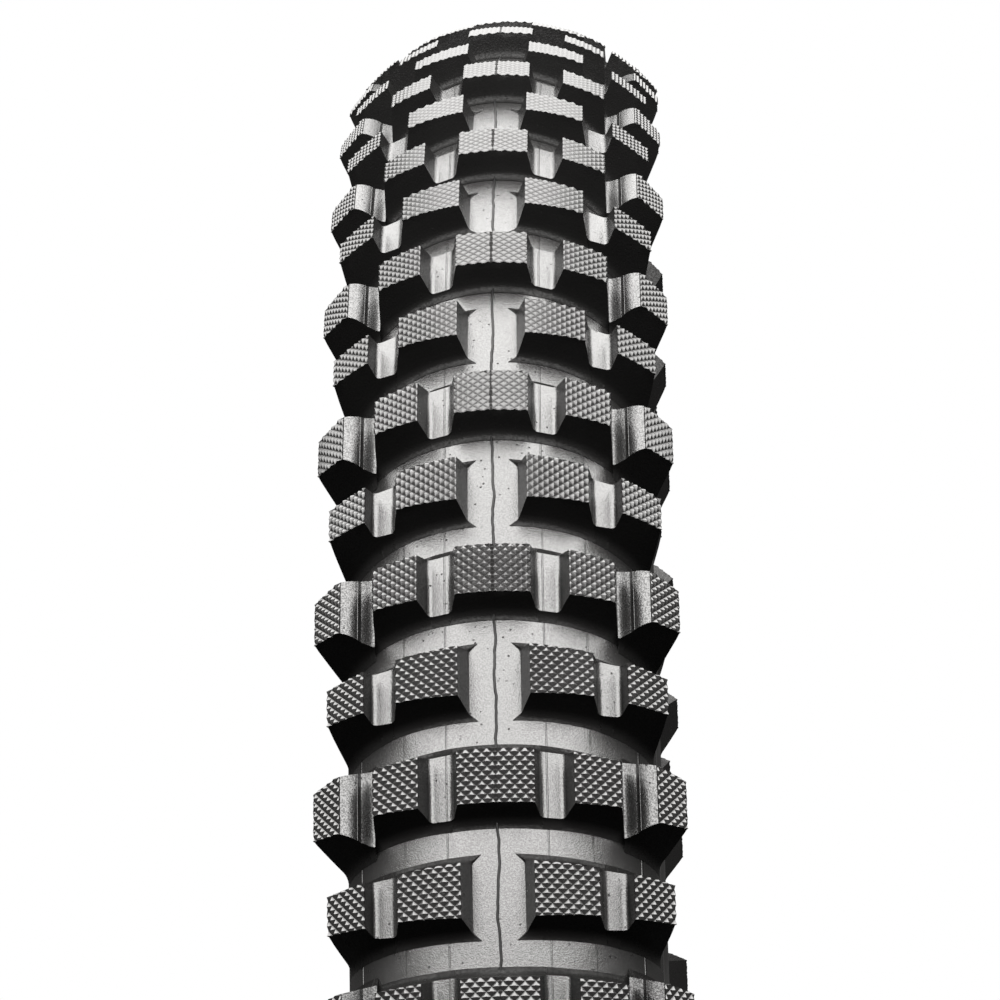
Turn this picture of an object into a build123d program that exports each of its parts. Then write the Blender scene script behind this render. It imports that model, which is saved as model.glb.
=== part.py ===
from build123d import *
import math
import os

# A 2.75-21 front trials tyre, modelled as it stands on a wheel: the axle lies along Y and the origin is the
# wheel's centre. Lengths are millimetres and angles are degrees. A section point is (y, r): y across the tyre,
# r out from the axle. Angles round the casing start at the crown.

# ---- Driving sizes ----------------------------------------------------------------------------------------
bead_seat_d = 21 * 25.4  # the rim's bead seat
casing_w = 70.0  # across the casing, without the lugs
casing_lift = 4.7  # from the rim's seat out to the casing's round
crown_lug_h = 6.2  # lug height over the casing at the crown
shoulder_lug_h = 11.0  # lug height over the casing at the tread's edge
pitch_count = 42  # five-lug rows round the tyre, with a four-lug row between each two

# Layers, from the outside in
band_t = 2.6
undertread_t = 0.8
ply_t = 0.9
liner_t = 0.8
chafer_t = 1.0
tread_edge = 84.0  # where the tread meets the sidewall, round the casing

# Beads
bead_w = 46.0  # over both beads, as moulded
toe_w = 1.6  # from the plies in to the toe
heel_r = 2.0
toe_r = 0.5
flange_relief_r = 8.0  # where the rim flange's lip lies against the sidewall
chafer_h = 8.6  # up the bead's outer face
turn_up_outer = 5.4  # how far each ply's turned-up end runs on past the filler's tip
turn_up_inner = 3.0
wire_r = 0.79
wire_gap = 0.04
wire_rings = 1  # rings of wire round the middle one
wrap_t = 0.4
wrap_gap = 0.09  # between the outer wires and the wrap

# Lug edges: (angle of the top edge, angle of the foot, half length of the top edge)
lug_draft = 16.0  # front and back walls
centre_edge = (11.8, 17.6, 6.35)
middle_inner = (24.0, 23.4, 6.05)
middle_outer = (39.5, 51.3, 5.4)
shoulder_inner = (52.0, 53.6, 6.8)
shoulder_outer = (63.7, 80.0, 5.65)
pair_inner = (11.1, 9.2, 6.2)
pair_middle = (31.1, 41.1, 5.35)
flank_middle = (43.3, 46.8, 5.15)
flank_outer = (57.1, 76.0, 4.45)
# Tie bars: floor height over the casing
centre_tie_h = 1.4
flank_tie_h = 2.4
shoulder_valley_h = 1.7
root_depth = 3.0  # how far a lug is drawn into the casing before it is trimmed to it

# ---- Worked-out sizes -------------------------------------------------------------------------------------
seat_r = bead_seat_d / 2
casing_r = casing_w / 2
crown_d = bead_seat_d + 2 * (casing_lift + casing_w + crown_lug_h)  # over the lugs, at the middle of the tread
crown_r = crown_d / 2
casing_c = crown_r - crown_lug_h - casing_r  # radius of the circle that the casing's centre runs on
band_in = casing_r - band_t
outer_ply_r = band_in - undertread_t
inner_ply_r = outer_ply_r - ply_t
liner_r = inner_ply_r - ply_t
cavity_r = liner_r - liner_t
wire_pitch = 2 * wire_r + wire_gap
bundle_r = wire_rings * wire_pitch + wire_r
wrap_in = bundle_r + wrap_gap
core_r = wrap_in + wrap_t
bead_y = bead_w / 2
core_y = bead_y - chafer_t - 2 * ply_t - core_r
core_z = seat_r + chafer_t + 2 * ply_t + core_r
bead_base_w = chafer_t + 4 * ply_t + 2 * core_r + toe_w  # along the rim's seat, heel to toe
toe_y = bead_y - bead_base_w

# The plies run straight from the casing's round to the bead core, square to this angle.
_reach = math.hypot(core_y, casing_c - core_z)
_core_angle = 180 - math.degrees(math.atan2(core_y, casing_c - core_z))
leg_angle = _core_angle - math.degrees(math.acos((outer_ply_r + core_r) / _reach))
LEG = (math.sin(math.radians(leg_angle)), math.cos(math.radians(leg_angle)))


# ---- Section geometry -------------------------------------------------------------------------------------
def polar(angle, radius):
    """The section point at an angle round the casing, radius from the casing's centre."""
    a = math.radians(angle)
    return (radius * math.sin(a), casing_c + radius * math.cos(a))


def by_core(distance):
    """The point on the leg's side of the bead core, distance from the core's centre."""
    return (core_y - distance * LEG[0], core_z - distance * LEG[1])


def leg_at_y(y, radius):
    """Where the leg line that is radius from the casing's centre passes y."""
    return (y, casing_c + (radius - y * LEG[0]) / LEG[1])


def along_leg(point, distance):
    """The point moved up a leg, towards the casing."""
    return (point[0] - LEG[1] * distance, point[1] + LEG[0] * distance)


def vector(point):
    return Vector(0, point[0], point[1])


def line(a, b):
    return Edge.make_line(vector(a), vector(b))


def arc(a, middle, b):
    return Edge.make_three_point_arc(vector(a), vector(middle), vector(b))


def casing_arc(radius, start, end):
    return arc(polar(start, radius), polar(start + (end - start) / 2, radius), polar(end, radius))


def round_core(radius, above):
    """The round over or under the bead core, from the leg's side to the rim flange's side."""
    half = math.radians((leg_angle + 270) / 2 + (180 if above else 0))
    middle = (core_y + radius * math.sin(half), core_z + radius * math.cos(half))
    return arc(by_core(radius), middle, (core_y + radius, core_z))


def mirrored(edges):
    """The edges' mirror images on the left, in the order that carries an outline on."""
    return [edge.mirror(Plane.XZ) for edge in reversed(edges)]


def ring(edges):
    """A solid of revolution about the axle, from a closed outline."""
    face = Face(Wire.combine(edges)[0])
    return revolve(face, Axis.Y)


def both_sides(name, right):
    """Writes a right-hand piece and its mirror image."""
    write(name + "_right", [right])
    write(name + "_left", [right.mirror(Plane.XZ)])


def write(name, solids):
    solids = [s for shape in solids for s in shape.solids()]
    export_step(Compound(children=solids) if len(solids) > 1 else solids[0], f"parts/{name}.step")


# ---- Casing layers ----------------------------------------------------------------------------------------
def tread_layer(inner, outer):
    """A layer under the tread, from edge to edge."""
    return ring(
        [
            casing_arc(outer, -tread_edge, tread_edge),
            line(polar(tread_edge, outer), polar(tread_edge, inner)),
            casing_arc(inner, tread_edge, -tread_edge),
            line(polar(-tread_edge, inner), polar(-tread_edge, outer)),
        ]
    )


def liner():
    """The air-tight skin inside the casing, down to the toes of both beads."""
    low, high = cavity_r, liner_r
    low_end = by_core(core_r + 2 * ply_t + liner_t)
    high_end = by_core(core_r + 2 * ply_t)
    right = [line(polar(leg_angle, high), high_end), line(high_end, low_end), line(low_end, polar(leg_angle, low))]
    return ring(
        [casing_arc(high, -leg_angle, leg_angle), *right, casing_arc(low, leg_angle, -leg_angle), *mirrored(right)]
    )


def ply(outer, wrap, turn_up):
    """One ply: round the casing, down each leg, under the bead core, up again and along the leg."""
    inner, wrap_out = outer - ply_t, wrap + ply_t
    outside = outer + 2 * (outer_ply_r - outer)
    tip = leg_at_y(core_y + core_r, outer_ply_r)
    end = along_leg(tip, turn_up)
    lift = outside - outer_ply_r
    end_in = (end[0] + LEG[0] * lift, end[1] + LEG[1] * lift)
    end_out = (end_in[0] + LEG[0] * ply_t, end_in[1] + LEG[1] * ply_t)
    knee_in = leg_at_y(core_y + wrap, outside)
    knee_out = leg_at_y(core_y + wrap_out, outside + ply_t)
    right = [
        line(polar(leg_angle, outer), by_core(wrap)),
        round_core(wrap, False),
        line((core_y + wrap, core_z), knee_in),
        line(knee_in, end_in),
        line(end_in, end_out),
        line(end_out, knee_out),
        line(knee_out, (core_y + wrap_out, core_z)),
        round_core(wrap_out, False),
        line(by_core(wrap_out), polar(leg_angle, inner)),
    ]
    return ring(
        [
            casing_arc(outer, -leg_angle, leg_angle),
            *right,
            casing_arc(inner, leg_angle, -leg_angle),
            *mirrored(right),
        ]
    )


# ---- Beads ------------------------------------------------------------------------------------------------
def bead_wires():
    """One ring for each turn of the bead's wire, close-packed round the middle one."""
    centres = []
    for a in range(-wire_rings, wire_rings + 1):
        for b in range(-wire_rings, wire_rings + 1):
            if abs(a + b) <= wire_rings:
                centres.append((core_y + wire_pitch * (a + b / 2), core_z + wire_pitch * b * math.sqrt(3) / 2))
    return [ring([Edge.make_circle(wire_r, Plane(vector(c), z_dir=(1, 0, 0)))]) for c in centres]


def bead_wrap():
    """The fabric strip round the wires."""
    around = Plane(vector((core_y, core_z)), z_dir=(1, 0, 0))
    outer = Face(Wire(Edge.make_circle(core_r, around)))
    inner = Face(Wire(Edge.make_circle(wrap_in, around)))
    return revolve(outer - inner, Axis.Y)


def bead_filler():
    """The hard rubber wedge on the core, between the ply and its turned-up end."""
    outer_side = (core_y + core_r, core_z)
    tip = leg_at_y(core_y + core_r, outer_ply_r)
    return ring([line(by_core(core_r), tip), line(tip, outer_side), round_core(core_r, True)])


def flange_corner():
    """Where the bead's outer face would meet the leg's outer face."""
    return leg_at_y(bead_y, casing_r)


def chafer():
    """The strip that rubs on the rim: up the outer face, along the seat and round the toe."""
    top = seat_r + chafer_h
    ply_y = bead_y - chafer_t
    low_end = by_core(core_r + 2 * ply_t + liner_t)
    high_end = by_core(core_r + 2 * ply_t)
    outline = [(ply_y, top), (bead_y, top), (bead_y, seat_r), (toe_y, seat_r), low_end, high_end]
    edges = [line(a, b) for a, b in zip(outline, outline[1:])]
    edges += [round_core(core_r + 2 * ply_t, False), line((ply_y, core_z), (ply_y, top))]
    face = Face(Wire.combine(edges)[0])
    heel = [v for v in face.vertices() if abs(v.Z - seat_r) < 1e-6 and abs(v.Y - bead_y) < 1e-6]
    toe = [v for v in face.vertices() if abs(v.Z - seat_r) < 1e-6 and abs(v.Y - toe_y) < 1e-6]
    face = face.fillet_2d(heel_r, heel).fillet_2d(toe_r, toe)
    return revolve(face, Axis.Y)


def sidewall():
    """From the tread's edge down to the chafer, over the plies' turned-up ends."""
    corner = flange_corner()
    bend = math.radians(leg_angle - 90)
    reach = flange_relief_r * math.tan(bend / 2)
    centre = (bead_y + flange_relief_r, corner[1] - reach)
    mid = (centre[0] - flange_relief_r * math.cos(bend / 2), centre[1] + flange_relief_r * math.sin(bend / 2))
    top = seat_r + chafer_h
    ply_y = bead_y - chafer_t
    tip = leg_at_y(core_y + core_r, outer_ply_r)

    def step(turn_up, lift):
        end = along_leg(tip, turn_up)
        return (end[0] + LEG[0] * lift, end[1] + LEG[1] * lift)

    leg_top = polar(leg_angle, casing_r)
    inside = [
        (bead_y, top),
        (ply_y, top),
        leg_at_y(ply_y, outer_ply_r + 2 * ply_t),
        step(turn_up_inner, 2 * ply_t),
        step(turn_up_inner, ply_t),
        step(turn_up_outer, ply_t),
        step(turn_up_outer, 0),
        polar(leg_angle, outer_ply_r),
    ]
    return ring(
        [
            casing_arc(casing_r, tread_edge, leg_angle),
            line(leg_top, along_leg(corner, reach)),
            arc(along_leg(corner, reach), mid, (bead_y, corner[1] - reach)),
            line((bead_y, corner[1] - reach), (bead_y, top)),
            *[line(a, b) for a, b in zip(inside, inside[1:])],
            casing_arc(outer_ply_r, leg_angle, tread_edge),
            line(polar(tread_edge, outer_ply_r), polar(tread_edge, casing_r)),
        ]
    )


# ---- Lugs -------------------------------------------------------------------------------------------------
def top_arc_r():
    """Radius of the arc, centred over the axle, through the crown's and the shoulder's lug tops."""
    y, r = polar(shoulder_outer[0], casing_r + shoulder_lug_h)
    drop = crown_r - r
    return (y * y + drop * drop) / (2 * drop)


def lug_top(angle):
    """Where the ray at an angle round the casing meets the arc of the lug tops."""
    arc_r = top_arc_r()
    a = math.radians(angle)
    offset = casing_c - (crown_r - arc_r)
    return polar(angle, -offset * math.cos(a) + math.sqrt(arc_r**2 - (offset * math.sin(a)) ** 2))


def on_wall(edge, height):
    """Where a lug's side wall is height over the casing."""
    top, foot = lug_top(edge[0]), polar(edge[1], casing_r)
    low, high = 0.0, 1.0
    for _ in range(40):
        share = (low + high) / 2
        y, r = foot[0] + share * (top[0] - foot[0]), foot[1] + share * (top[1] - foot[1])
        if math.hypot(y, r - casing_c) < casing_r + height:
            low = share
        else:
            high = share
    return (y, r)


def end_plane(first, second):
    """x = a + b*y + c*r of a lug's front wall, through its top edge and leaning out by the draft."""
    (y1, r1), (y2, r2) = lug_top(first[0]), lug_top(second[0])
    x1, x2 = first[2], second[2]
    middle = math.radians((first[0] + second[0]) / 2)
    ny, nr, lean = math.sin(middle), math.cos(middle), -math.tan(math.radians(lug_draft))
    det = (y2 - y1) * nr - (r2 - r1) * ny
    b = ((x2 - x1) * nr - (r2 - r1) * lean) / det
    c = ((y2 - y1) * lean - (x2 - x1) * ny) / det
    return (x1 - b * y1 - c * r1, b, c)


def block(section, wall):
    """The closed block with this section, between a front wall and its mirror image at the back."""
    a, b, c = wall
    front = [Vector(a + b * y + c * r, y, r) for y, r in section]
    back = [Vector(-p.X, p.Y, p.Z) for p in front]
    faces = [Face(Wire.make_polygon(front)), Face(Wire.make_polygon(back))]
    for i in range(len(front)):
        j = (i + 1) % len(front)
        faces.append(Face(Wire.make_polygon([front[i], front[j], back[j], back[i]])))
    solid = Solid(Shell(faces))
    return solid - casing_torus


def lug(first, second, extra=()):
    """A lug between two edges, seated on the casing. Extra points come between the foot and the first edge."""
    root = casing_r - root_depth
    section = [polar(first[1], root), *extra, lug_top(first[0]), lug_top(second[0]), polar(second[1], casing_r)]
    section.append(polar(second[1], root))
    if not extra:
        section.insert(1, polar(first[1], casing_r))
    return block(section, end_plane(first, second))


def tie_bar(first, second, height):
    """The low bar that joins two lugs of a row, between their walls."""
    root = casing_r - root_depth
    section = [
        polar(first[1], root),
        polar(first[1], casing_r),
        on_wall(first, height),
        on_wall(second, height),
        polar(second[1], casing_r),
        polar(second[1], root),
    ]
    return block(section, end_plane(first, second))


def row(name, solid, turn=0.0):
    """Copies of one lug or bar, one to a pitch."""
    step = 360 / pitch_count
    write(name, [solid.rotate(Axis.Y, step * (i + turn)) for i in range(pitch_count)])


def row_pair(name, solid, turn=0.0):
    row(name + "_right", solid, turn)
    row(name + "_left", solid.mirror(Plane.XZ), turn)


os.makedirs("parts", exist_ok=True)
casing_torus = Solid.make_torus(casing_c, casing_r, Plane(Vector(0, 0, 0), z_dir=(0, 1, 0)))

write("tread_band", [tread_layer(band_in, casing_r)])
write("undertread", [tread_layer(outer_ply_r, band_in)])
write("outer_ply", [ply(outer_ply_r, core_r, turn_up_outer)])
write("inner_ply", [ply(inner_ply_r, core_r + ply_t, turn_up_inner)])
write("inner_liner", [liner()])
both_sides("sidewall", sidewall())
both_sides("chafer", chafer())
both_sides("bead_filler", bead_filler())
both_sides("bead_wrap", bead_wrap())
wires = bead_wires()
write("bead_wires_right", wires)
write("bead_wires_left", [w.mirror(Plane.XZ) for w in wires])

mirror_edge = (-centre_edge[0], -centre_edge[1], centre_edge[2])
row("centre_lugs", lug(mirror_edge, centre_edge))
row_pair("middle_lugs", lug(middle_inner, middle_outer))
valley = (on_wall(middle_outer, shoulder_valley_h), on_wall(shoulder_inner, shoulder_valley_h))
row_pair("shoulder_lugs", lug(shoulder_inner, shoulder_outer, extra=(polar(middle_outer[1], casing_r), *valley)))
row_pair("centre_tie_bars", tie_bar(centre_edge, middle_inner, centre_tie_h))
row_pair("pair_lugs", lug(pair_inner, pair_middle), turn=0.5)
row_pair("flank_lugs", lug(flank_middle, flank_outer), turn=0.5)
row_pair("flank_tie_bars", tie_bar(pair_middle, flank_middle, flank_tie_h), turn=0.5)

print("casing centre", round(casing_c, 2), "leg angle", round(leg_angle, 2), "lug-top arc", round(top_arc_r(), 2))
print("bead seat radius", seat_r, "toe", toe_y, "core", round(core_y, 2), round(core_z, 2))
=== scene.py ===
import math

import bmesh
import bpy
from mathutils import Matrix, Vector


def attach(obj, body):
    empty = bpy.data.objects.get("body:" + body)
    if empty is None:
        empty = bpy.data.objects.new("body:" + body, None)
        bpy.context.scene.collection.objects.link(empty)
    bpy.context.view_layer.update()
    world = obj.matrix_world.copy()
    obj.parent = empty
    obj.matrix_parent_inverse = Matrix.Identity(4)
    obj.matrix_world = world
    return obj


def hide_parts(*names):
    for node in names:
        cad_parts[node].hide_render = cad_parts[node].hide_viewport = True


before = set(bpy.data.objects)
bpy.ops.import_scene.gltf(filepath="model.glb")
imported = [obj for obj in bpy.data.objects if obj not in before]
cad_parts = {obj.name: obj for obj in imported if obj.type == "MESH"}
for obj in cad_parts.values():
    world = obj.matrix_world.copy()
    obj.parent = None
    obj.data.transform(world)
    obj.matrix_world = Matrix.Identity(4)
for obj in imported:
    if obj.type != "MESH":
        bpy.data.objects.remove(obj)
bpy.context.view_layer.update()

# ---- The tyre's sizes, in millimetres and degrees ---------------------------------------------------------
MM = 0.001
CROWN_R = 347.6  # over the lugs
CASING_R = 35.0  # round of the casing's section
CASING_C = 306.4  # radius of the circle that the section's centre runs on
BAND_IN = 32.4
TREAD_EDGE = 84.0
PITCHES = 42
LEAN = math.radians(16.0)  # of the lugs' walls, from the upright
DRAFT = math.tan(LEAN)
FOOT_FILLET = 2.3  # at the foot of the lugs' front and back walls
OUTER_FILLET = 1.6  # at the foot of the outermost lugs' outer walls
SHOULDER = (63.7, 11.0)  # angle and height of the outermost lug edge

# Lug edges: (angle of the top edge, angle of the foot, half length of the top edge)
CENTRE = (11.8, 16.3, 6.35)
MIDDLE_IN = (24.0, 23.4, 6.05)
MIDDLE_OUT = (39.3, 51.3, 5.4)
SHOULDER_IN = (52.0, 53.6, 6.8)
SHOULDER_OUT = (63.7, 80.0, 5.65)
PAIR_IN = (11.1, 9.4, 6.2)
PAIR_OUT = (31.1, 41.1, 5.35)
FLANK_IN = (42.5, 46.8, 5.15)
FLANK_OUT = (57.1, 76.0, 4.45)
BULGES = {SHOULDER_IN: 1.7}  # how far a side wall swells out between its top edge and its foot
CENTRE_TIE_H = 1.4
FLANK_TIE_H = 2.4
VALLEY_H = 1.7

KNURL_ALONG, KNURL_ACROSS = 2.2, 2.36  # a pyramid's diagonals, along the tread and across it
KNURL_LOW, KNURL_HIGH = -0.1, 0.4  # about the lugs' top surface
LIP = 0.1  # from the knurl's lowest points down to the top row of a lug's walls
SUNK = 0.6  # how deep a lug's closed underside lies in the band
NEAR_END = 0.97  # where a side wall's outer lines of points run, as a share of its half length
ON_EDGE = 1e-5  # a point this near to a lug's cut edge is on it
LOW_WALL = 2.5  # under this height a bridge's front and back walls count as low
SADDLE_RISE = 0.9  # how far a tie bar's trough rises at both its lugs
VALLEY_TONGUE = 1.8  # how far the valley's rubber runs out beyond the middle lug, along the tread
MOULD_LINES = (11.0, 20.5, 31.0)  # the hairlines' distances from the middle plane
SMOOTH_BELOW = 32.0  # degrees: edges that turn by less are shaded smooth

SMOOTH, KNURLED, GRAINED, WALLED = 0, 1, 2, 3  # finishes of a lug's faces


# ---- Section geometry -------------------------------------------------------------------------------------
def polar(angle, height):
    """Section point (y, r) at an angle round the casing and a height over it."""
    a = math.radians(angle)
    return ((CASING_R + height) * math.sin(a), CASING_C + (CASING_R + height) * math.cos(a))


def angle_height(point):
    y, r = point
    return math.degrees(math.atan2(y, r - CASING_C)), math.hypot(y, r - CASING_C) - CASING_R


def top_arc_radius():
    y, r = polar(*SHOULDER)
    drop = CROWN_R - r
    return (y * y + drop * drop) / (2 * drop)


TOP_R = top_arc_radius()


def top_height(angle):
    """Height over the casing of the lugs' top surface at a casing angle."""
    a = math.radians(angle)
    offset = CASING_C - (CROWN_R - TOP_R)
    return -offset * math.cos(a) + math.sqrt(TOP_R**2 - (offset * math.sin(a)) ** 2) - CASING_R


def top_angle(angle):
    """The top arc's own angle, in radians, where the ray at a casing angle meets it."""
    return math.asin(polar(angle, top_height(angle))[0] / TOP_R)


def on_top(arc_angle, t, lift):
    """A point of the top surface, raised by lift: x along the tread, y across it, z out from the axle."""
    radius = TOP_R + lift
    return (t, radius * math.sin(arc_angle), CROWN_R - TOP_R + radius * math.cos(arc_angle))


def on_casing(angle, height, t):
    y, r = polar(angle, height)
    return (t, y, r)


def wall_angle(edge, height):
    """Casing angle of a side wall, straight from its top edge to its foot, at a height over the casing."""
    top, foot = polar(edge[0], top_height(edge[0])), polar(edge[1], 0.0)
    low, high = -0.3, 1.0
    for _ in range(30):
        share = (low + high) / 2
        point = (foot[0] + share * (top[0] - foot[0]), foot[1] + share * (top[1] - foot[1]))
        if edge in BULGES and 0 < share < 1:
            swell = BULGES[edge] * 4 * share * (1 - share) / math.dist(foot, top)
            point = (point[0] - swell * (top[1] - foot[1]), point[1] + swell * (top[0] - foot[0]))
        low, high = (share, high) if angle_height(point)[1] < height else (low, share)
    return angle_height(point)[0]


def foot_spread(height, fillet=FOOT_FILLET):
    """How far a fillet carries a wall's foot outwards at a height over the casing."""
    tangent = fillet / math.tan((math.pi / 2 + LEAN) / 2)
    height = max(height, 0.0)
    if height >= tangent * math.cos(LEAN):
        return 0.0
    return max(0.0, tangent + height * DRAFT - math.sqrt(max(fillet**2 - (fillet - height) ** 2, 0.0)))


def end_reach(edge, height):
    """Half the lug's length at one of its edges, at a height over the casing, without the fillet."""
    return edge[2] + (top_height(edge[0]) - height) * DRAFT


# ---- Mesh making ------------------------------------------------------------------------------------------
class Shell:
    """Vertices, faces and each face's finish, gathered for one mesh."""

    def __init__(self):
        self.points, self.faces, self.finish, self.index = [], [], [], {}

    def point(self, p):
        key = (round(p[0], 4), round(p[1], 4), round(p[2], 4))
        if key not in self.index:
            self.index[key] = len(self.points)
            self.points.append(p)
        return self.index[key]

    def face(self, corners, finish):
        ring = [c for i, c in enumerate(corners) if c != corners[i - 1]]
        if len(set(ring)) > 2:
            self.faces.append(ring)
            self.finish.append(finish)

    def strip(self, upper, lower, finish, flip=False):
        """Quads between two rows of as many points."""
        for i in range(len(upper) - 1):
            quad = [upper[i], upper[i + 1], lower[i + 1], lower[i]]
            self.face(quad[::-1] if flip else quad, finish)

    def zip(self, fine, coarse, finish, flip=False):
        """Triangles between two rows with different numbers of points, each a list of (share, index)."""
        i = j = 0
        while i < len(fine) - 1 or j < len(coarse) - 1:
            step_fine = j == len(coarse) - 1 or (i < len(fine) - 1 and fine[i + 1][0] <= coarse[j + 1][0])
            if step_fine:
                tri = [fine[i][1], fine[i + 1][1], coarse[j][1]]
                i += 1
            else:
                tri = [fine[i][1], coarse[j + 1][1], coarse[j][1]]
                j += 1
            self.face(tri[::-1] if flip else tri, finish)

    def mirrored(self):
        other = Shell()
        other.points = [(x, -y, z) for x, y, z in self.points]
        other.faces = [f[::-1] for f in self.faces]
        other.finish = list(self.finish)
        return other


def clipped(polygon, a, b, c):
    """The part of a polygon of (s, t, lift) corners with a*s + b*t <= c."""
    kept = []
    for i, p in enumerate(polygon):
        q = polygon[(i + 1) % len(polygon)]
        dp, dq = a * p[0] + b * p[1] - c, a * q[0] + b * q[1] - c
        if dp <= 0:
            kept.append(p)
        if (dp < 0 < dq) or (dq < 0 < dp):
            w = dp / (dp - dq)
            kept.append(tuple(p[k] + w * (q[k] - p[k]) for k in range(3)))
    return kept


def knurl(shell, first, second):
    """Rows of pyramids, set cornerwise, cut off at a lug's edges. Returns the four cut edges."""
    s1, s2 = top_angle(first[0]) * TOP_R, top_angle(second[0]) * TOP_R
    slope = (second[2] - first[2]) / (s2 - s1)
    start = first[2] - slope * s1
    limits = [(-1, 0, -s1), (1, 0, s2), (-slope, 1, start), (-slope, -1, start)]
    along, across = KNURL_ALONG / 2, KNURL_ACROSS / 2
    longest = max(first[2], second[2])
    # a lug on the mould's seam has a half pattern each side of it, one the other's mirror image
    halves = [(1, limits)]
    shift = 0.0
    if s1 < 0 < s2:
        shift = across * 0.55
        own_side = (-1, 0, 0.0)
        halves = [(1, [own_side, *limits]), (-1, [own_side, *limits])]
    edges = {"first": {}, "second": {}, "front": {}, "back": {}}
    for side, bounds in halves:
        for a in range(math.floor(s1 / across) - 1, math.ceil(s2 / across) + 2):
            for b in range(math.floor(-longest / along) - 1, math.ceil(longest / along) + 2):
                if (a + b) % 2:
                    continue
                peak = (a * across + shift, b * along, KNURL_HIGH)
                corners = [
                    ((a + i) * across + shift, (b + j) * along, KNURL_LOW)
                    for i, j in ((1, 0), (0, 1), (-1, 0), (0, -1))
                ]
                for k in range(4):
                    polygon = [peak, corners[k], corners[(k + 1) % 4]]
                    for limit in bounds:
                        polygon = clipped(polygon, *limit)
                        if len(polygon) < 3:
                            break
                    if len(polygon) < 3:
                        continue
                    ring = []
                    for s, t, lift in polygon:
                        s *= side
                        i = shell.point(on_top(s / TOP_R, t, lift))
                        ring.append(i)
                        reach = first[2] + slope * (s - s1)
                        if abs(s - s1) < ON_EDGE:
                            edges["first"][i] = t / reach
                        if abs(s - s2) < ON_EDGE:
                            edges["second"][i] = t / reach
                        if abs(t - reach) < ON_EDGE:
                            edges["front"][i] = (s - s1) / (s2 - s1)
                        if abs(t + reach) < ON_EDGE:
                            edges["back"][i] = (s - s1) / (s2 - s1)
                    shell.face(ring[::side], KNURLED)
    return {k: sorted((share, i) for i, share in v.items()) for k, v in edges.items()}


def station_heights(top, steps):
    """Heights down a wall from its top, closer together in the fillet, and ending under the casing."""
    fillet_steps = 5
    tangent = min(FOOT_FILLET * 0.7, top * 0.9)
    straight = [top + (tangent - top) * k / steps for k in range(steps + 1)]
    curve = [tangent * (1 - math.sin(math.pi / 2 * k / fillet_steps)) for k in range(1, fillet_steps + 1)]
    return straight + curve + [-SUNK]


def lug(first, second, first_fillet=0.0, second_fillet=0.0, flare=0.0, columns=6, first_wall=WALLED):
    """A lug between two edges: knurled top, drafted walls with a fillet round the foot, closed underneath.

    flare is how many degrees the first edge's foot corners run out beyond its side wall, and first_wall is
    that wall's finish."""
    shell = Shell()
    cut = knurl(shell, first, second)
    a1, a2 = top_angle(first[0]), top_angle(second[0])
    shares = [j / columns for j in range(columns + 1)]
    tops = []
    for u in shares:
        arc = a1 + (a2 - a1) * u
        radius = TOP_R + KNURL_LOW - LIP
        tops.append(angle_height((radius * math.sin(arc), CROWN_R - TOP_R + radius * math.cos(arc))))
    steps = 8 if first in BULGES else 3  # a bulged wall needs more rows
    levels = [station_heights(h, steps) for _, h in tops]
    widest = foot_spread(0.0)
    grids = {1: [], -1: []}
    walls = {0: [], columns: []}
    for k in range(len(levels[0])):
        rows = {1: [], -1: []}
        ends = []
        for edge, sign, fillet, j in ((first, -1, first_fillet, 0), (second, 1, second_fillet, columns)):
            height = levels[j][k]
            spread = foot_spread(height, fillet) if fillet else 0.0
            angle = tops[j][0] if k == 0 else wall_angle(edge, max(height, 0.0))
            ends.append(angle + sign * math.degrees(spread / CASING_R))
        plain_first = ends[0]
        ends[0] -= flare * (foot_spread(levels[0][k]) / widest) ** 1.5
        for j, u in enumerate(shares):
            height = levels[j][k]
            straight = (1 - u) * end_reach(first, max(height, 0)) + u * end_reach(second, max(height, 0))
            t = straight + foot_spread(height)
            angle = tops[j][0] if k == 0 else ends[0] + (ends[1] - ends[0]) * u
            for side in (1, -1):
                rows[side].append(shell.point(on_casing(angle, height, side * t)))
        for side in (1, -1):
            grids[side].append(rows[side])
        for j, angle, edge in ((0, plain_first, first), (columns, ends[1], second)):
            height = levels[j][k]
            angle = tops[j][0] if k == 0 else angle
            inner = end_reach(edge, max(height, 0)) * NEAR_END
            inside = [shell.point(on_casing(angle, height, t)) for t in (-inner, 0.0, inner)]
            walls[j].append([rows[-1][j], *inside, rows[1][j]])
    # front and back walls
    for side, name in ((1, "front"), (-1, "back")):
        shell.zip(cut[name], list(zip(shares, grids[side][0])), WALLED, flip=side > 0)
        for k in range(len(grids[side]) - 1):
            shell.strip(grids[side][k], grids[side][k + 1], WALLED, flip=side > 0)
    # side walls, with a middle line so that they follow the tread round
    across_wall = (-1.0, -NEAR_END, 0.0, NEAR_END, 1.0)
    for name, j, flip, finish in (("first", 0, True, first_wall), ("second", columns, False, WALLED)):
        rows = walls[j]
        shell.zip(cut[name], list(zip(across_wall, rows[0])), finish, flip=flip)
        for k in range(len(rows) - 1):
            shell.strip(rows[k], rows[k + 1], finish, flip=flip)
    # underside
    low_front, low_back = grids[1][-1], grids[-1][-1]
    for j in range(columns):
        shell.face([low_back[j + 1], low_back[j], low_front[j], low_front[j + 1]], WALLED)
    for j, flip in ((0, True), (columns, False)):
        ring = walls[j][-1]
        shell.face(ring[::-1] if flip else ring, WALLED)
    return shell


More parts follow.
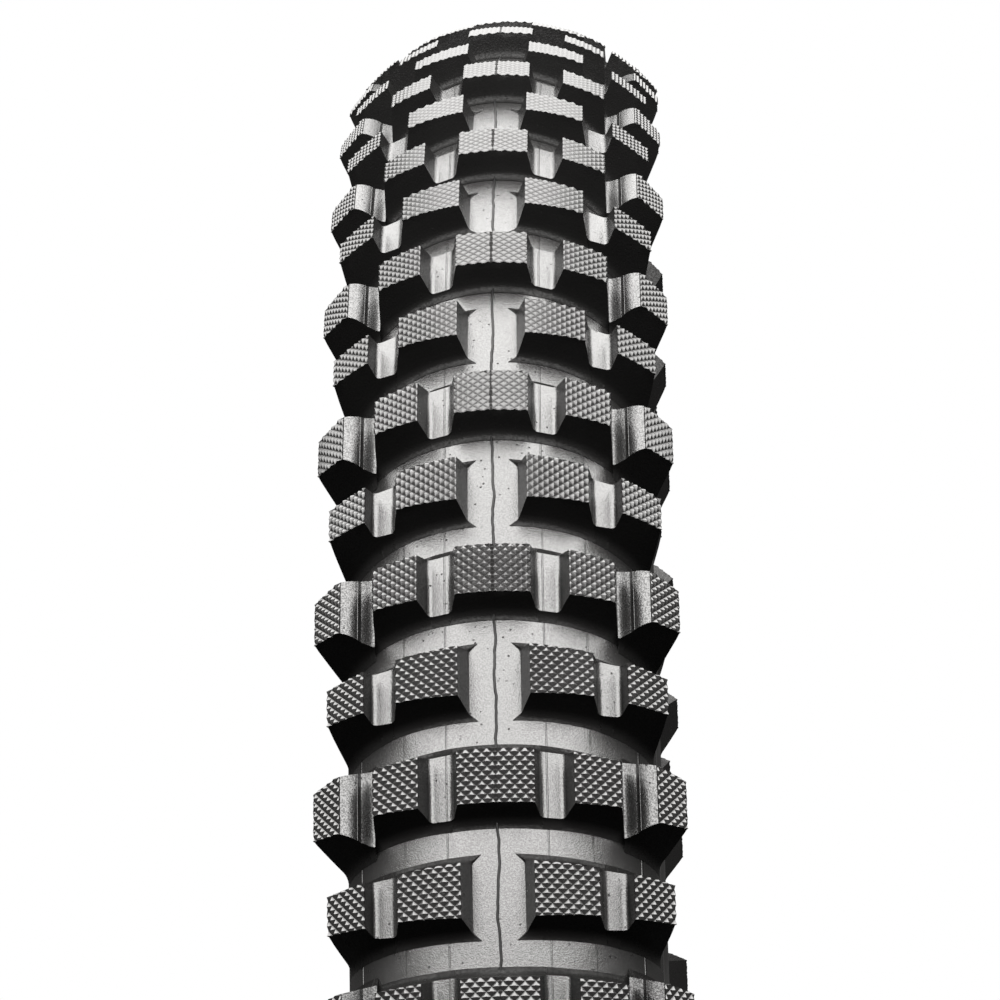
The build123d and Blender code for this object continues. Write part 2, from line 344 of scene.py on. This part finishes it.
def bridge(first, second, roof, finish, tongue=0.0):
    """The solid between two lugs' facing walls, under a roof of (share of the way across, height) points.

    tongue is how far it runs out, beyond the first lug, along the tread."""
    shell = Shell()
    grids = {1: [], -1: []}
    for u, height in roof:
        start = wall_angle(first, height) * (1 - u) + wall_angle(second, height) * u
        end = first[1] * (1 - u) + second[1] * u
        rows = {1: [], -1: []}
        steps = 6
        for k in range(steps + 1):
            # down a low wall the rows lie closer together at its top
            w = 1 - math.cos(math.pi / 2 * k / steps) if height < LOW_WALL else k / steps
            level = height * (1 - w)
            angle = start + (end - start) * w
            straight = (1 - u) * (end_reach(first, level) + tongue) + u * end_reach(second, level)
            for side in (1, -1):
                t = side * (straight + foot_spread(level))
                rows[side].append(shell.point(on_casing(angle, level, t)))
        for side in (1, -1):
            p = shell.points[rows[side][-1]]
            rows[side].append(shell.point(on_casing(end, -SUNK, p[0])))
            grids[side].append(rows[side])
    for i in range(len(roof) - 1):
        (f0, f1), (b0, b1) = (grids[1][i], grids[1][i + 1]), (grids[-1][i], grids[-1][i + 1])
        shell.face([b0[0], f0[0], f1[0], b1[0]][::-1], finish)
        for k in range(len(f0) - 1):
            shell.face([f0[k], f0[k + 1], f1[k + 1], f1[k]][::-1], WALLED)
            shell.face([b0[k], b0[k + 1], b1[k + 1], b1[k]], WALLED)
        shell.face([b0[-1], f0[-1], f1[-1], b1[-1]], WALLED)
    for i, flip in ((0, False), (-1, True)):
        ring = grids[1][i] + grids[-1][i][::-1]
        shell.face(ring[::-1] if flip else ring, GRAINED)
    return shell


def saddle(floor, width, tilt=0.0):
    """A tie bar's rounded trough: heights across it, which rise at both lugs.

    tilt is how much higher the floor is at the outer lug."""
    inner = []
    steps = 5
    for k in range(steps + 1):
        a = math.pi / 2 * k / steps
        inner.append((SADDLE_RISE / width * (1 - math.cos(a)), SADDLE_RISE * (1 - math.sin(a))))
    across = inner + [(1 - u, h) for u, h in inner[::-1]]
    return [(u, floor + h + tilt * u) for u, h in across]


def ramp():
    """The valley beside the middle lug, which rounds up into the shoulder lug's long inner wall."""
    rises = [(0.0, 0.15), (0.08, 0.0), (0.3, 0.25), (0.5, 0.6), (0.7, 1.1), (0.85, 1.8), (1.0, 2.8)]
    return [(share, VALLEY_H + rise) for share, rise in rises]


def mesh_object(name, points, faces, finishes=None):
    """A new object from points in millimetres, smooth except over sharp edges.

    Its faces are turned to look outwards, whichever way round their corners are listed."""
    mesh = bpy.data.meshes.new(name)
    mesh.from_pydata([(x * MM, y * MM, z * MM) for x, y, z in points], [], faces)
    if finishes is not None:
        mesh.attributes.new("finish", "INT", "FACE").data.foreach_set("value", finishes)
    outward = bmesh.new()
    outward.from_mesh(mesh)
    bmesh.ops.recalc_face_normals(outward, faces=outward.faces)
    outward.to_mesh(mesh)
    outward.free()
    mesh.shade_smooth()
    mesh.set_sharp_from_angle(angle=math.radians(SMOOTH_BELOW))
    piece = bpy.data.objects.new(name, mesh)
    bpy.context.scene.collection.objects.link(piece)
    return piece


# ---- Materials --------------------------------------------------------------------------------------------
class Finish:
    """A material with a Principled surface, and short ways to add nodes to it."""

    def __init__(self, name, color, roughness, specular=0.5, metallic=0.0):
        self.material = bpy.data.materials.new(name)
        self.material.use_nodes = True
        self.tree = self.material.node_tree
        self.surface = self.tree.nodes["Principled BSDF"]
        self.surface.inputs["Base Color"].default_value = (*color, 1.0)
        self.surface.inputs["Roughness"].default_value = roughness
        self.surface.inputs["Specular IOR Level"].default_value = specular
        self.surface.inputs["Metallic"].default_value = metallic
        self.place = self.tree.nodes.new("ShaderNodeTexCoord").outputs["Object"]
        self.normal = None

    def node(self, kind, inputs=(), **settings):
        node = self.tree.nodes.new(kind)
        for key, value in settings.items():
            setattr(node, key, value)
        for key, value in dict(inputs).items():
            if isinstance(value, bpy.types.NodeSocket):
                self.tree.links.new(value, node.inputs[key])
            else:
                node.inputs[key].default_value = value
        return node

    def math(self, operation, *values):
        return self.node("ShaderNodeMath", dict(enumerate(values)), operation=operation).outputs[0]

    def noise(self, scale, detail=2.0, stretch=None, rough=0.5):
        place = self.place
        if stretch:
            place = self.node("ShaderNodeMapping", {"Vector": place, "Scale": stretch}).outputs[0]
        inputs = {"Vector": place, "Scale": scale, "Detail": detail, "Roughness": rough}
        return self.node("ShaderNodeTexNoise", inputs).outputs["Fac"]

    def spots(self, scale, size):
        """1 in small round spots scattered over the surface, 0 elsewhere."""
        cell = self.node("ShaderNodeTexVoronoi", {"Vector": self.place, "Scale": scale})
        inside = self.math("LESS_THAN", cell.outputs["Distance"], size)
        pick = self.node("ShaderNodeSeparateColor", {0: cell.outputs["Color"]}).outputs[0]
        return self.math("MULTIPLY", inside, self.math("GREATER_THAN", pick, 0.55))

    def span(self, value, low, high, to_low, to_high, smooth=False):
        """A value's range from low to high, carried over to the range from to_low to to_high."""
        kind = "SMOOTHSTEP" if smooth else "LINEAR"
        inputs = {"Value": value, "From Min": low, "From Max": high, "To Min": to_low, "To Max": to_high}
        return self.node("ShaderNodeMapRange", inputs, interpolation_type=kind).outputs[0]

    def bump(self, height, distance):
        inputs = {"Height": height, "Distance": distance, "Strength": 1.0}
        if self.normal is not None:
            inputs["Normal"] = self.normal
        self.normal = self.node("ShaderNodeBump", inputs).outputs[0]
        self.tree.links.new(self.normal, self.surface.inputs["Normal"])

    def color(self, low, high, factor):
        node = self.node("ShaderNodeMix", data_type="RGBA")
        self.tree.links.new(factor, node.inputs["Factor"])
        node.inputs["A"].default_value = (*low, 1.0)
        node.inputs["B"].default_value = (*high, 1.0)
        self.tree.links.new(node.outputs["Result"], self.surface.inputs["Base Color"])

    def roughness(self, socket):
        self.tree.links.new(socket, self.surface.inputs["Roughness"])

    def across(self):
        """Distance from the tyre's middle plane, in millimetres."""
        y = self.node("ShaderNodeSeparateXYZ", {0: self.place}).outputs["Y"]
        return self.math("MULTIPLY", self.math("ABSOLUTE", y), 1000.0)

    def lift(self):
        """Height over the lugs' top surface, in millimetres."""
        parts = self.node("ShaderNodeSeparateXYZ", {0: self.place}).outputs
        across, height = (self.math("MULTIPLY", part, 1000.0) for part in (parts["Y"], self.radius(parts)))
        above = self.math("SUBTRACT", height, CROWN_R - TOP_R)
        squares = self.math("MULTIPLY_ADD", across, across, self.math("MULTIPLY", above, above))
        return self.math("SUBTRACT", self.math("SQRT", squares), TOP_R)

    def radius(self, parts):
        """Distance from the axle."""
        height_squared = self.math("MULTIPLY", parts["Z"], parts["Z"])
        return self.math("SQRT", self.math("MULTIPLY_ADD", parts["X"], parts["X"], height_squared))

    def line_at(self, across, where, half_width):
        """1 on a thin line that runs round the tyre at a distance from its middle plane."""
        off = self.math("ABSOLUTE", self.math("SUBTRACT", across, where))
        return self.span(off, half_width * 0.5, half_width, 1.0, 0.0)



RUBBER = (0.010, 0.0098, 0.0098)
RUBBER_DARK = (0.0075, 0.0073, 0.0072)
RUBBER_LIGHT = (0.014, 0.0138, 0.0136)


def tread_finish(name, roughness, grain, grain_depth, specular, painted_shade=1.0, speckle=0.0, kind=SMOOTH, ior=1.5):
    """Mould-fresh black rubber: gloss that varies a little, fine grain, pits, and the mould's hairlines.

    shade scales its colour down as painted shading, for faces that the lights leave darker, and
    speckle is how much of the gloss its grain takes away. Knurled rubber is duller between its pyramids and
    along the line where the mould's halves met."""
    f = Finish(name, RUBBER, roughness, specular)
    f.surface.inputs["IOR"].default_value = ior
    cloud = f.noise(45.0, 3.0)
    fine = f.noise(grain, 3.0, rough=0.65)
    patch = f.span(f.noise(38.0, 2.0), 0.42, 0.6, 0.0, 1.0, smooth=True)
    pits = f.math("MAXIMUM", f.spots(230.0, 0.07), f.math("MULTIPLY", f.spots(640.0, 0.17), patch))
    # colours scaled down by the factor: painted shading on the faces that the lights leave darker
    f.color([c * painted_shade for c in RUBBER_DARK], [c * painted_shade for c in RUBBER_LIGHT], cloud)
    gloss = f.math("MULTIPLY_ADD", pits, 0.0 if kind == KNURLED else -0.85, 1.0)
    if speckle:
        grains = f.span(f.noise(grain, 2.0), 0.4, 0.6, 1.0 - speckle, 1.0 + speckle * 0.4)
        gloss = f.math("MULTIPLY", gloss, grains)
    across = f.across()
    if kind == KNURLED:
        lift = f.lift()
        gloss = f.math("MULTIPLY", gloss, f.span(lift, KNURL_LOW, 0.16, 0.3, 1.0))
        ragged = f.math("MULTIPLY_ADD", f.noise(420.0, 2.0), 1.1, f.math("SUBTRACT", across, 0.55))
        notches = f.math("MAXIMUM", f.span(ragged, 0.24, 0.38, 0.04, 1.0), f.span(lift, 0.12, 0.28, 0.0, 1.0))
        gloss = f.math("MULTIPLY", gloss, notches)
    f.tree.links.new(f.math("MULTIPLY", gloss, specular), f.surface.inputs["Specular IOR Level"])
    mottle = f.math("ADD", f.span(cloud, 0.35, 0.7, -0.035, 0.05), f.math("MULTIPLY", fine, 0.05))
    f.roughness(f.math("ADD", f.math("ADD", mottle, roughness - 0.02), f.math("MULTIPLY", pits, 0.3)))
    f.bump(f.noise(110.0, 2.0), 0.00012)
    f.bump(fine, grain_depth)
    if kind != KNURLED:
        f.bump(f.math("MULTIPLY", pits, -1.0), 0.0003)
    if kind in (SMOOTH, GRAINED):
        ridge = f.line_at(across, MOULD_LINES[0], 0.2)
        for where in MOULD_LINES[1:]:
            ridge = f.math("MAXIMUM", ridge, f.line_at(across, where, 0.2))
        f.bump(ridge, 0.0005)
    return f.material


# ---- Geometry Nodes ---------------------------------------------------------------------------------------
def new_tree(name, inputs):
    tree = bpy.data.node_groups.new(name, "GeometryNodeTree")
    tree.interface.new_socket("Geometry", in_out="INPUT", socket_type="NodeSocketGeometry")
    sockets = {}
    for label, kind, value in inputs:
        socket = tree.interface.new_socket(label, in_out="INPUT", socket_type=kind)
        socket.default_value = value
        sockets[label] = socket.identifier
    tree.interface.new_socket("Geometry", in_out="OUTPUT", socket_type="NodeSocketGeometry")
    return tree, sockets, tree.nodes.new("NodeGroupInput"), tree.nodes.new("NodeGroupOutput")


def linked(tree, kind, inputs=(), **settings):
    node = tree.nodes.new(kind)
    for key, value in settings.items():
        setattr(node, key, value)
    for key, value in dict(inputs).items():
        if isinstance(value, bpy.types.NodeSocket):
            tree.links.new(value, node.inputs[key])
        else:
            node.inputs[key].default_value = value
    return node


def computed(tree, operation, a, b):
    return linked(tree, "ShaderNodeMath", {0: a, 1: b}, operation=operation).outputs[0]


def finish_tree(tree, geometry, materials, group_out):
    """Ends a tree: real geometry, with each finish's material on its own faces."""
    geometry = linked(tree, "GeometryNodeRealizeInstances", {"Geometry": geometry}).outputs[0]
    named = linked(tree, "GeometryNodeInputNamedAttribute", {"Name": "finish"}, data_type="INT")
    for number, material in materials:
        pair = {2: named.outputs[0], 3: number}
        chosen = linked(tree, "FunctionNodeCompare", pair, data_type="INT", operation="EQUAL")
        inputs = {"Geometry": geometry, "Material": material, "Selection": chosen.outputs[0]}
        geometry = linked(tree, "GeometryNodeSetMaterial", inputs).outputs[0]
    tree.links.new(geometry, group_out.inputs[0])


def ring_tree(materials):
    """Copies of the incoming piece round the axle, evenly spaced and turned on by a share of the spacing."""
    inputs = [("Count", "NodeSocketInt", PITCHES), ("Turn", "NodeSocketFloat", 0.0)]
    tree, sockets, group_in, group_out = new_tree("ring of copies", inputs)
    points = linked(tree, "GeometryNodePoints", {"Count": group_in.outputs["Count"]})
    index = tree.nodes.new("GeometryNodeInputIndex").outputs[0]
    turned = computed(tree, "ADD", index, group_in.outputs["Turn"])
    share = computed(tree, "DIVIDE", turned, group_in.outputs["Count"])
    angle = computed(tree, "MULTIPLY", share, 2 * math.pi)
    euler = linked(tree, "ShaderNodeCombineXYZ", {"Y": angle}).outputs[0]
    rotation = linked(tree, "FunctionNodeEulerToRotation", {0: euler}).outputs[0]
    inputs = {"Points": points.outputs[0], "Instance": group_in.outputs["Geometry"], "Rotation": rotation}
    copies = linked(tree, "GeometryNodeInstanceOnPoints", inputs).outputs[0]
    finish_tree(tree, copies, materials, group_out)
    return tree, sockets


def bake(piece, tree, settings, sockets):
    """Gives the piece a tree's result as its own plain mesh."""
    modifier = piece.modifiers.new("tree", "NODES")
    modifier.node_group = tree
    for label, value in settings.items():
        modifier[sockets[label]] = value
    bpy.context.view_layer.update()
    depsgraph = bpy.context.evaluated_depsgraph_get()
    result = bpy.data.meshes.new_from_object(piece.evaluated_get(depsgraph))
    piece.modifiers.clear()
    piece.data = result


def stand_for(piece, slot, *nodes):
    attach(piece, "root")
    if nodes:
        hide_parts(*nodes)


# ---- Tread ------------------------------------------------------------------------------------------------
smooth_rubber = tread_finish("glossy tread rubber", 0.14, 2800.0, 0.00009, 0.62, speckle=0.16)
knurl_rubber = tread_finish("knurled lug rubber", 0.15, 3800.0, 0.00002, 0.6, kind=KNURLED)
# colour at half: painted shading on the shoulder lugs' inner walls and ramps, which the lights leave darker
grained = {"painted_shade": 0.5, "speckle": 0.5, "kind": GRAINED}
grain_rubber = tread_finish("grained lug rubber", 0.26, 2600.0, 0.00007, 0.62, **grained)
# colour at 0.6: painted shading on the lugs' walls, which face away from the lights
walled = {"painted_shade": 0.6, "speckle": 0.6, "kind": WALLED, "ior": 1.15}
wall_rubber = tread_finish("lug wall rubber", 0.2, 2000.0, 0.0001, 0.5, **walled)
FINISHES = [(SMOOTH, smooth_rubber), (KNURLED, knurl_rubber), (GRAINED, grain_rubber), (WALLED, wall_rubber)]
ring, ring_sockets = ring_tree(FINISHES)


def ring_of(name, shell, turn):
    piece = mesh_object(name, shell.points, shell.faces, shell.finish)
    bake(piece, ring, {"Count": PITCHES, "Turn": turn}, ring_sockets)
    stand_for(piece, "tread_rubber", name[: -len("_detail")])


def ring_pair(name, shell, turn=0.0):
    ring_of(name + "_right_detail", shell, turn)
    ring_of(name + "_left_detail", shell.mirrored(), turn)


def join(first, second):
    start = len(first.points)
    first.points += second.points
    first.faces += [[i + start for i in f] for f in second.faces]
    first.finish += second.finish
    return first


mirror_centre = (-CENTRE[0], -CENTRE[1], CENTRE[2])
ring_of("centre_lugs_detail", lug(mirror_centre, CENTRE, columns=8), 0.0)
ring_pair("middle_lugs", lug(MIDDLE_IN, MIDDLE_OUT))
slope = bridge(MIDDLE_OUT, SHOULDER_IN, ramp(), GRAINED, tongue=VALLEY_TONGUE)
shoulder_lug = lug(SHOULDER_IN, SHOULDER_OUT, second_fillet=OUTER_FILLET, first_wall=GRAINED)
ring_pair("shoulder_lugs", join(shoulder_lug, slope))
ring_pair("pair_lugs", lug(PAIR_IN, PAIR_OUT, flare=3.2), 0.5)
ring_pair("flank_lugs", lug(FLANK_IN, FLANK_OUT, second_fillet=OUTER_FILLET), 0.5)
ring_pair("centre_tie_bars", bridge(CENTRE, MIDDLE_IN, saddle(CENTRE_TIE_H, width=5.0), SMOOTH))
flank_trough = saddle(FLANK_TIE_H, width=4.0, tilt=1.6)
ring_pair("flank_tie_bars", bridge(PAIR_OUT, FLANK_IN, flank_trough, SMOOTH), 0.5)


def revolved(name, profile, segments):
    """A closed ring about the axle from an outline of (y, r) points."""
    count = len(profile)
    points, faces = [], []
    for i in range(segments):
        a = 2 * math.pi * i / segments
        points += [(r * math.sin(a), y, r * math.cos(a)) for y, r in profile]
    for i in range(segments):
        this, following = i * count, (i + 1) % segments * count
        for j in range(count):
            k = (j + 1) % count
            faces.append([this + j, this + k, following + k, following + j])
    return mesh_object(name, points, faces)


band_outline = [polar(TREAD_EDGE * (k / 28 - 1), 0.0) for k in range(57)]
band_outline += [polar(TREAD_EDGE * (1 - k / 8), BAND_IN - CASING_R) for k in range(17)]
band = revolved("tread_band_detail", band_outline, 504)
band.data.materials.append(smooth_rubber)
stand_for(band, "tread_rubber", "tread_band")


def seam_tree(material):
    """A thin wavering fin round the crown, where the mould's halves met."""
    inputs = [
        ("Radius", "NodeSocketFloat", (CASING_C + CASING_R) * MM),
        ("Height", "NodeSocketFloat", 0.5 * MM),
        ("Thickness", "NodeSocketFloat", 0.34 * MM),
        ("Waver", "NodeSocketFloat", 3.2 * MM),
        ("Seed", "NodeSocketFloat", 4.0),
    ]
    tree, sockets, group_in, group_out = new_tree("mould seam", inputs)
    sizes = group_in.outputs
    circle = linked(tree, "GeometryNodeCurvePrimitiveCircle", {"Resolution": 1680, "Radius": sizes["Radius"]})
    inputs = {"Geometry": circle.outputs[0], "Rotation": (math.pi / 2, 0, 0)}
    upright = linked(tree, "GeometryNodeTransform", inputs)
    place = tree.nodes.new("GeometryNodeInputPosition").outputs[0]
    inputs = {"Vector": place, "W": sizes["Seed"], "Scale": 75.0, "Detail": 5.0, "Roughness": 0.6}
    noise = linked(tree, "ShaderNodeTexNoise", inputs, noise_dimensions="4D").outputs[0]
    shift = computed(tree, "MULTIPLY", computed(tree, "SUBTRACT", noise, 0.5), sizes["Waver"])
    offset = linked(tree, "ShaderNodeCombineXYZ", {"Y": shift}).outputs[0]
    wavy = linked(tree, "GeometryNodeSetPosition", {"Geometry": upright.outputs[0], "Offset": offset})
    inputs = {"Value": noise, "From Min": 0.3, "From Max": 0.7, "To Min": 0.35, "To Max": 1.6}
    size = linked(tree, "ShaderNodeMapRange", inputs)
    scaled = linked(tree, "GeometryNodeSetCurveRadius", {"Curve": wavy.outputs[0], "Radius": size.outputs[0]})
    profile = linked(tree, "GeometryNodeCurvePrimitiveCircle", {"Resolution": 6, "Radius": 1.0})
    scale = linked(tree, "ShaderNodeCombineXYZ", {"X": sizes["Height"], "Y": sizes["Thickness"], "Z": 1.0})
    blade = linked(tree, "GeometryNodeTransform", {"Geometry": profile.outputs[0], "Scale": scale.outputs[0]})
    inputs = {"Curve": scaled.outputs[0], "Profile Curve": blade.outputs[0]}
    fin = linked(tree, "GeometryNodeCurveToMesh", inputs)
    solid = linked(tree, "GeometryNodeRealizeInstances", {"Geometry": fin.outputs[0]}).outputs[0]
    done = linked(tree, "GeometryNodeSetMaterial", {"Geometry": solid, "Material": material}).outputs[0]
    tree.links.new(done, group_out.inputs[0])
    return tree, sockets


# colour at 0.3: painted shading, for the thin shadow the fin casts and its sideways faces
seam_rubber = tread_finish("seam flash rubber", 0.45, 3000.0, 0.00005, 0.15, painted_shade=0.3, kind=WALLED)
seam, seam_sockets = seam_tree(seam_rubber)
seam_piece = mesh_object("mould_seam", [(0, 0, 0)], [])
bake(seam_piece, seam, {}, seam_sockets)
stand_for(seam_piece, "tread_rubber")

# ---- Sidewalls and inner pieces ---------------------------------------------------------------------------
sidewall = Finish("sidewall rubber", (0.009, 0.0088, 0.0088), 0.36, 0.5)
sidewall.color((0.0075, 0.0073, 0.0072), (0.013, 0.0128, 0.0126), sidewall.noise(60.0, 4.0))
sidewall.roughness(sidewall.span(sidewall.noise(90.0, 3.0), 0.3, 0.7, 0.28, 0.46))
sidewall.bump(sidewall.noise(1800.0, 3.0, rough=0.6), 0.00004)

chafer = Finish("chafer rubber", (0.012, 0.0118, 0.0116), 0.5, 0.4)
chafer.roughness(chafer.span(chafer.noise(220.0, 3.0), 0.3, 0.7, 0.42, 0.6))
chafer.bump(chafer.noise(1500.0, 3.0), 0.00005)

liner = Finish("liner rubber", (0.014, 0.0138, 0.0138), 0.42, 0.45)
liner.roughness(liner.span(liner.noise(120.0, 4.0), 0.3, 0.7, 0.34, 0.55))
liner.bump(liner.noise(700.0, 3.0, stretch=(1.0, 3.0, 1.0)), 0.00008)

filler = Finish("bead filler rubber", (0.02, 0.0198, 0.0195), 0.6, 0.4)
filler.bump(filler.noise(1200.0, 3.0), 0.00006)

cord = Finish("ply cord fabric", (0.33, 0.28, 0.2), 0.75, 0.3)
threads = {"Vector": cord.place, "Scale": 700.0, "Distortion": 0.4}
weave = cord.node("ShaderNodeTexWave", threads, bands_direction="DIAGONAL")
cord.color((0.2, 0.17, 0.12), (0.42, 0.36, 0.27), weave.outputs["Fac"])
cord.bump(weave.outputs["Fac"], 0.00015)

steel = Finish("bronzed bead wire", (0.55, 0.4, 0.24), 0.32, 0.5, metallic=1.0)
steel.roughness(steel.span(steel.noise(500.0, 3.0), 0.3, 0.7, 0.24, 0.42))
steel.bump(steel.noise(900.0, 2.0), 0.00003)

NODE_FINISH = {
    "sidewall": sidewall,
    "undertread": filler,
    "outer_ply": cord,
    "inner_ply": cord,
    "inner_liner": liner,
    "chafer": chafer,
    "bead_filler": filler,
    "bead_wrap": cord,
    "bead_wires": steel,
}
for start, finish in NODE_FINISH.items():
    for name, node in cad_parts.items():
        if name.startswith(start):
            node.data.materials.clear()
            node.data.materials.append(finish.material)

# ---- Stage ------------------------------------------------------------------------------------------------
FLOOR_Z = -0.3486  # just under the lowest lugs
FLOOR_HALF = 12.0
DOME_STRENGTH = 12.0
FILL_STRENGTH = 0.5
AMBIENT = 0.04
CAMERA_PLACE = (1.3491, 0.0378, -0.0033)
CAMERA_TURN = (1.967, 9.273, -1.808)  # yaw, pitch and roll, in degrees
SENSOR = 36.0
FOCAL = 4.708  # in widths of the sensor


def stage_floor():
    mesh = bpy.data.meshes.new("floor")
    side = FLOOR_HALF
    corners = [(-side, -side, FLOOR_Z), (side, -side, FLOOR_Z), (side, side, FLOOR_Z), (-side, side, FLOOR_Z)]
    mesh.from_pydata(corners, [], [[0, 1, 2, 3]])
    floor = bpy.data.objects.new("floor", mesh)
    bpy.context.scene.collection.objects.link(floor)
    paint = Finish("pale floor", (0.085, 0.085, 0.085), 0.9, 0.0)
    mesh.materials.append(paint.material)
    floor.visible_diffuse = False
    floor.visible_glossy = False


def studio_light():
    """A large soft dome overhead that fades out towards the horizon, with a weak fill from both sides."""
    world = bpy.data.worlds.new("studio")
    bpy.context.scene.world = world
    world.use_nodes = True
    tree = world.node_tree
    tree.nodes.clear()
    direction = tree.nodes.new("ShaderNodeTexCoord").outputs["Generated"]
    x, y, z = linked(tree, "ShaderNodeSeparateXYZ", {0: direction}).outputs

    def ramped(value, low, high, to_low, to_high):
        inputs = {"Value": value, "From Min": low, "From Max": high, "To Min": to_low, "To Max": to_high}
        return linked(tree, "ShaderNodeMapRange", inputs, interpolation_type="SMOOTHSTEP").outputs[0]

    aside = computed(tree, "ABSOLUTE", y, 0.0)
    # behind the tyre, and to both sides, the light starts higher up and is weaker
    lowered = computed(tree, "SUBTRACT", z, ramped(x, -0.7, 0.0, 0.28, 0.0))
    dome = ramped(lowered, 0.2, 0.52, 0.0, DOME_STRENGTH)
    dome = computed(tree, "MULTIPLY", dome, ramped(x, -0.75, 0.15, 0.5, 1.0))
    dome = computed(tree, "MULTIPLY", dome, ramped(aside, 0.74, 0.92, 1.0, 0.05))
    fill = ramped(aside, 0.4, 1.0, 0.0, FILL_STRENGTH)
    fill = computed(tree, "MULTIPLY", fill, ramped(z, -0.8, 0.2, 0.0, 1.0))
    fill = computed(tree, "MULTIPLY", fill, ramped(x, -0.5, 0.1, 0.15, 1.0))
    total = computed(tree, "ADD", computed(tree, "ADD", dome, fill), AMBIENT)
    soft = linked(tree, "ShaderNodeBackground", {"Color": (1.0, 0.99, 0.975, 1.0), "Strength": total})
    seen = linked(tree, "ShaderNodeBackground", {"Color": (1.0, 1.0, 1.0, 1.0), "Strength": 1.0})
    camera_ray = tree.nodes.new("ShaderNodeLightPath").outputs["Is Camera Ray"]
    mix = linked(tree, "ShaderNodeMixShader", {0: camera_ray, 1: soft.outputs[0], 2: seen.outputs[0]})
    out = tree.nodes.new("ShaderNodeOutputWorld")
    tree.links.new(mix.outputs[0], out.inputs["Surface"])


def front_camera():
    """The camera stands in front of the tread, a little low, and looks up it."""
    place = Vector(CAMERA_PLACE)
    yaw, pitch, roll = (math.radians(a) for a in CAMERA_TURN)
    forward = Vector((-math.cos(pitch) * math.cos(yaw), -math.cos(pitch) * math.sin(yaw), math.sin(pitch)))
    right = forward.cross(Vector((0, 0, 1))).normalized()
    up = right.cross(forward)
    right, up = (
        right * math.cos(roll) + up * math.sin(roll),
        up * math.cos(roll) - right * math.sin(roll),
    )
    half_pitch = Matrix.Rotation(-math.radians(180 / PITCHES), 3, "Y")
    data = bpy.data.cameras.new("camera")
    camera = bpy.data.objects.new("camera", data)
    bpy.context.scene.collection.objects.link(camera)
    turn = Matrix((right, up, -forward)).transposed()
    camera.matrix_world = Matrix.LocRotScale(half_pitch @ place, (half_pitch @ turn).to_quaternion(), None)
    data.sensor_width = SENSOR
    data.lens = SENSOR * FOCAL
    data.clip_start, data.clip_end = 0.01, 50.0
    bpy.context.scene.camera = camera


stage_floor()
studio_light()
front_camera()
bpy.context.scene.view_settings.view_transform = "Standard"
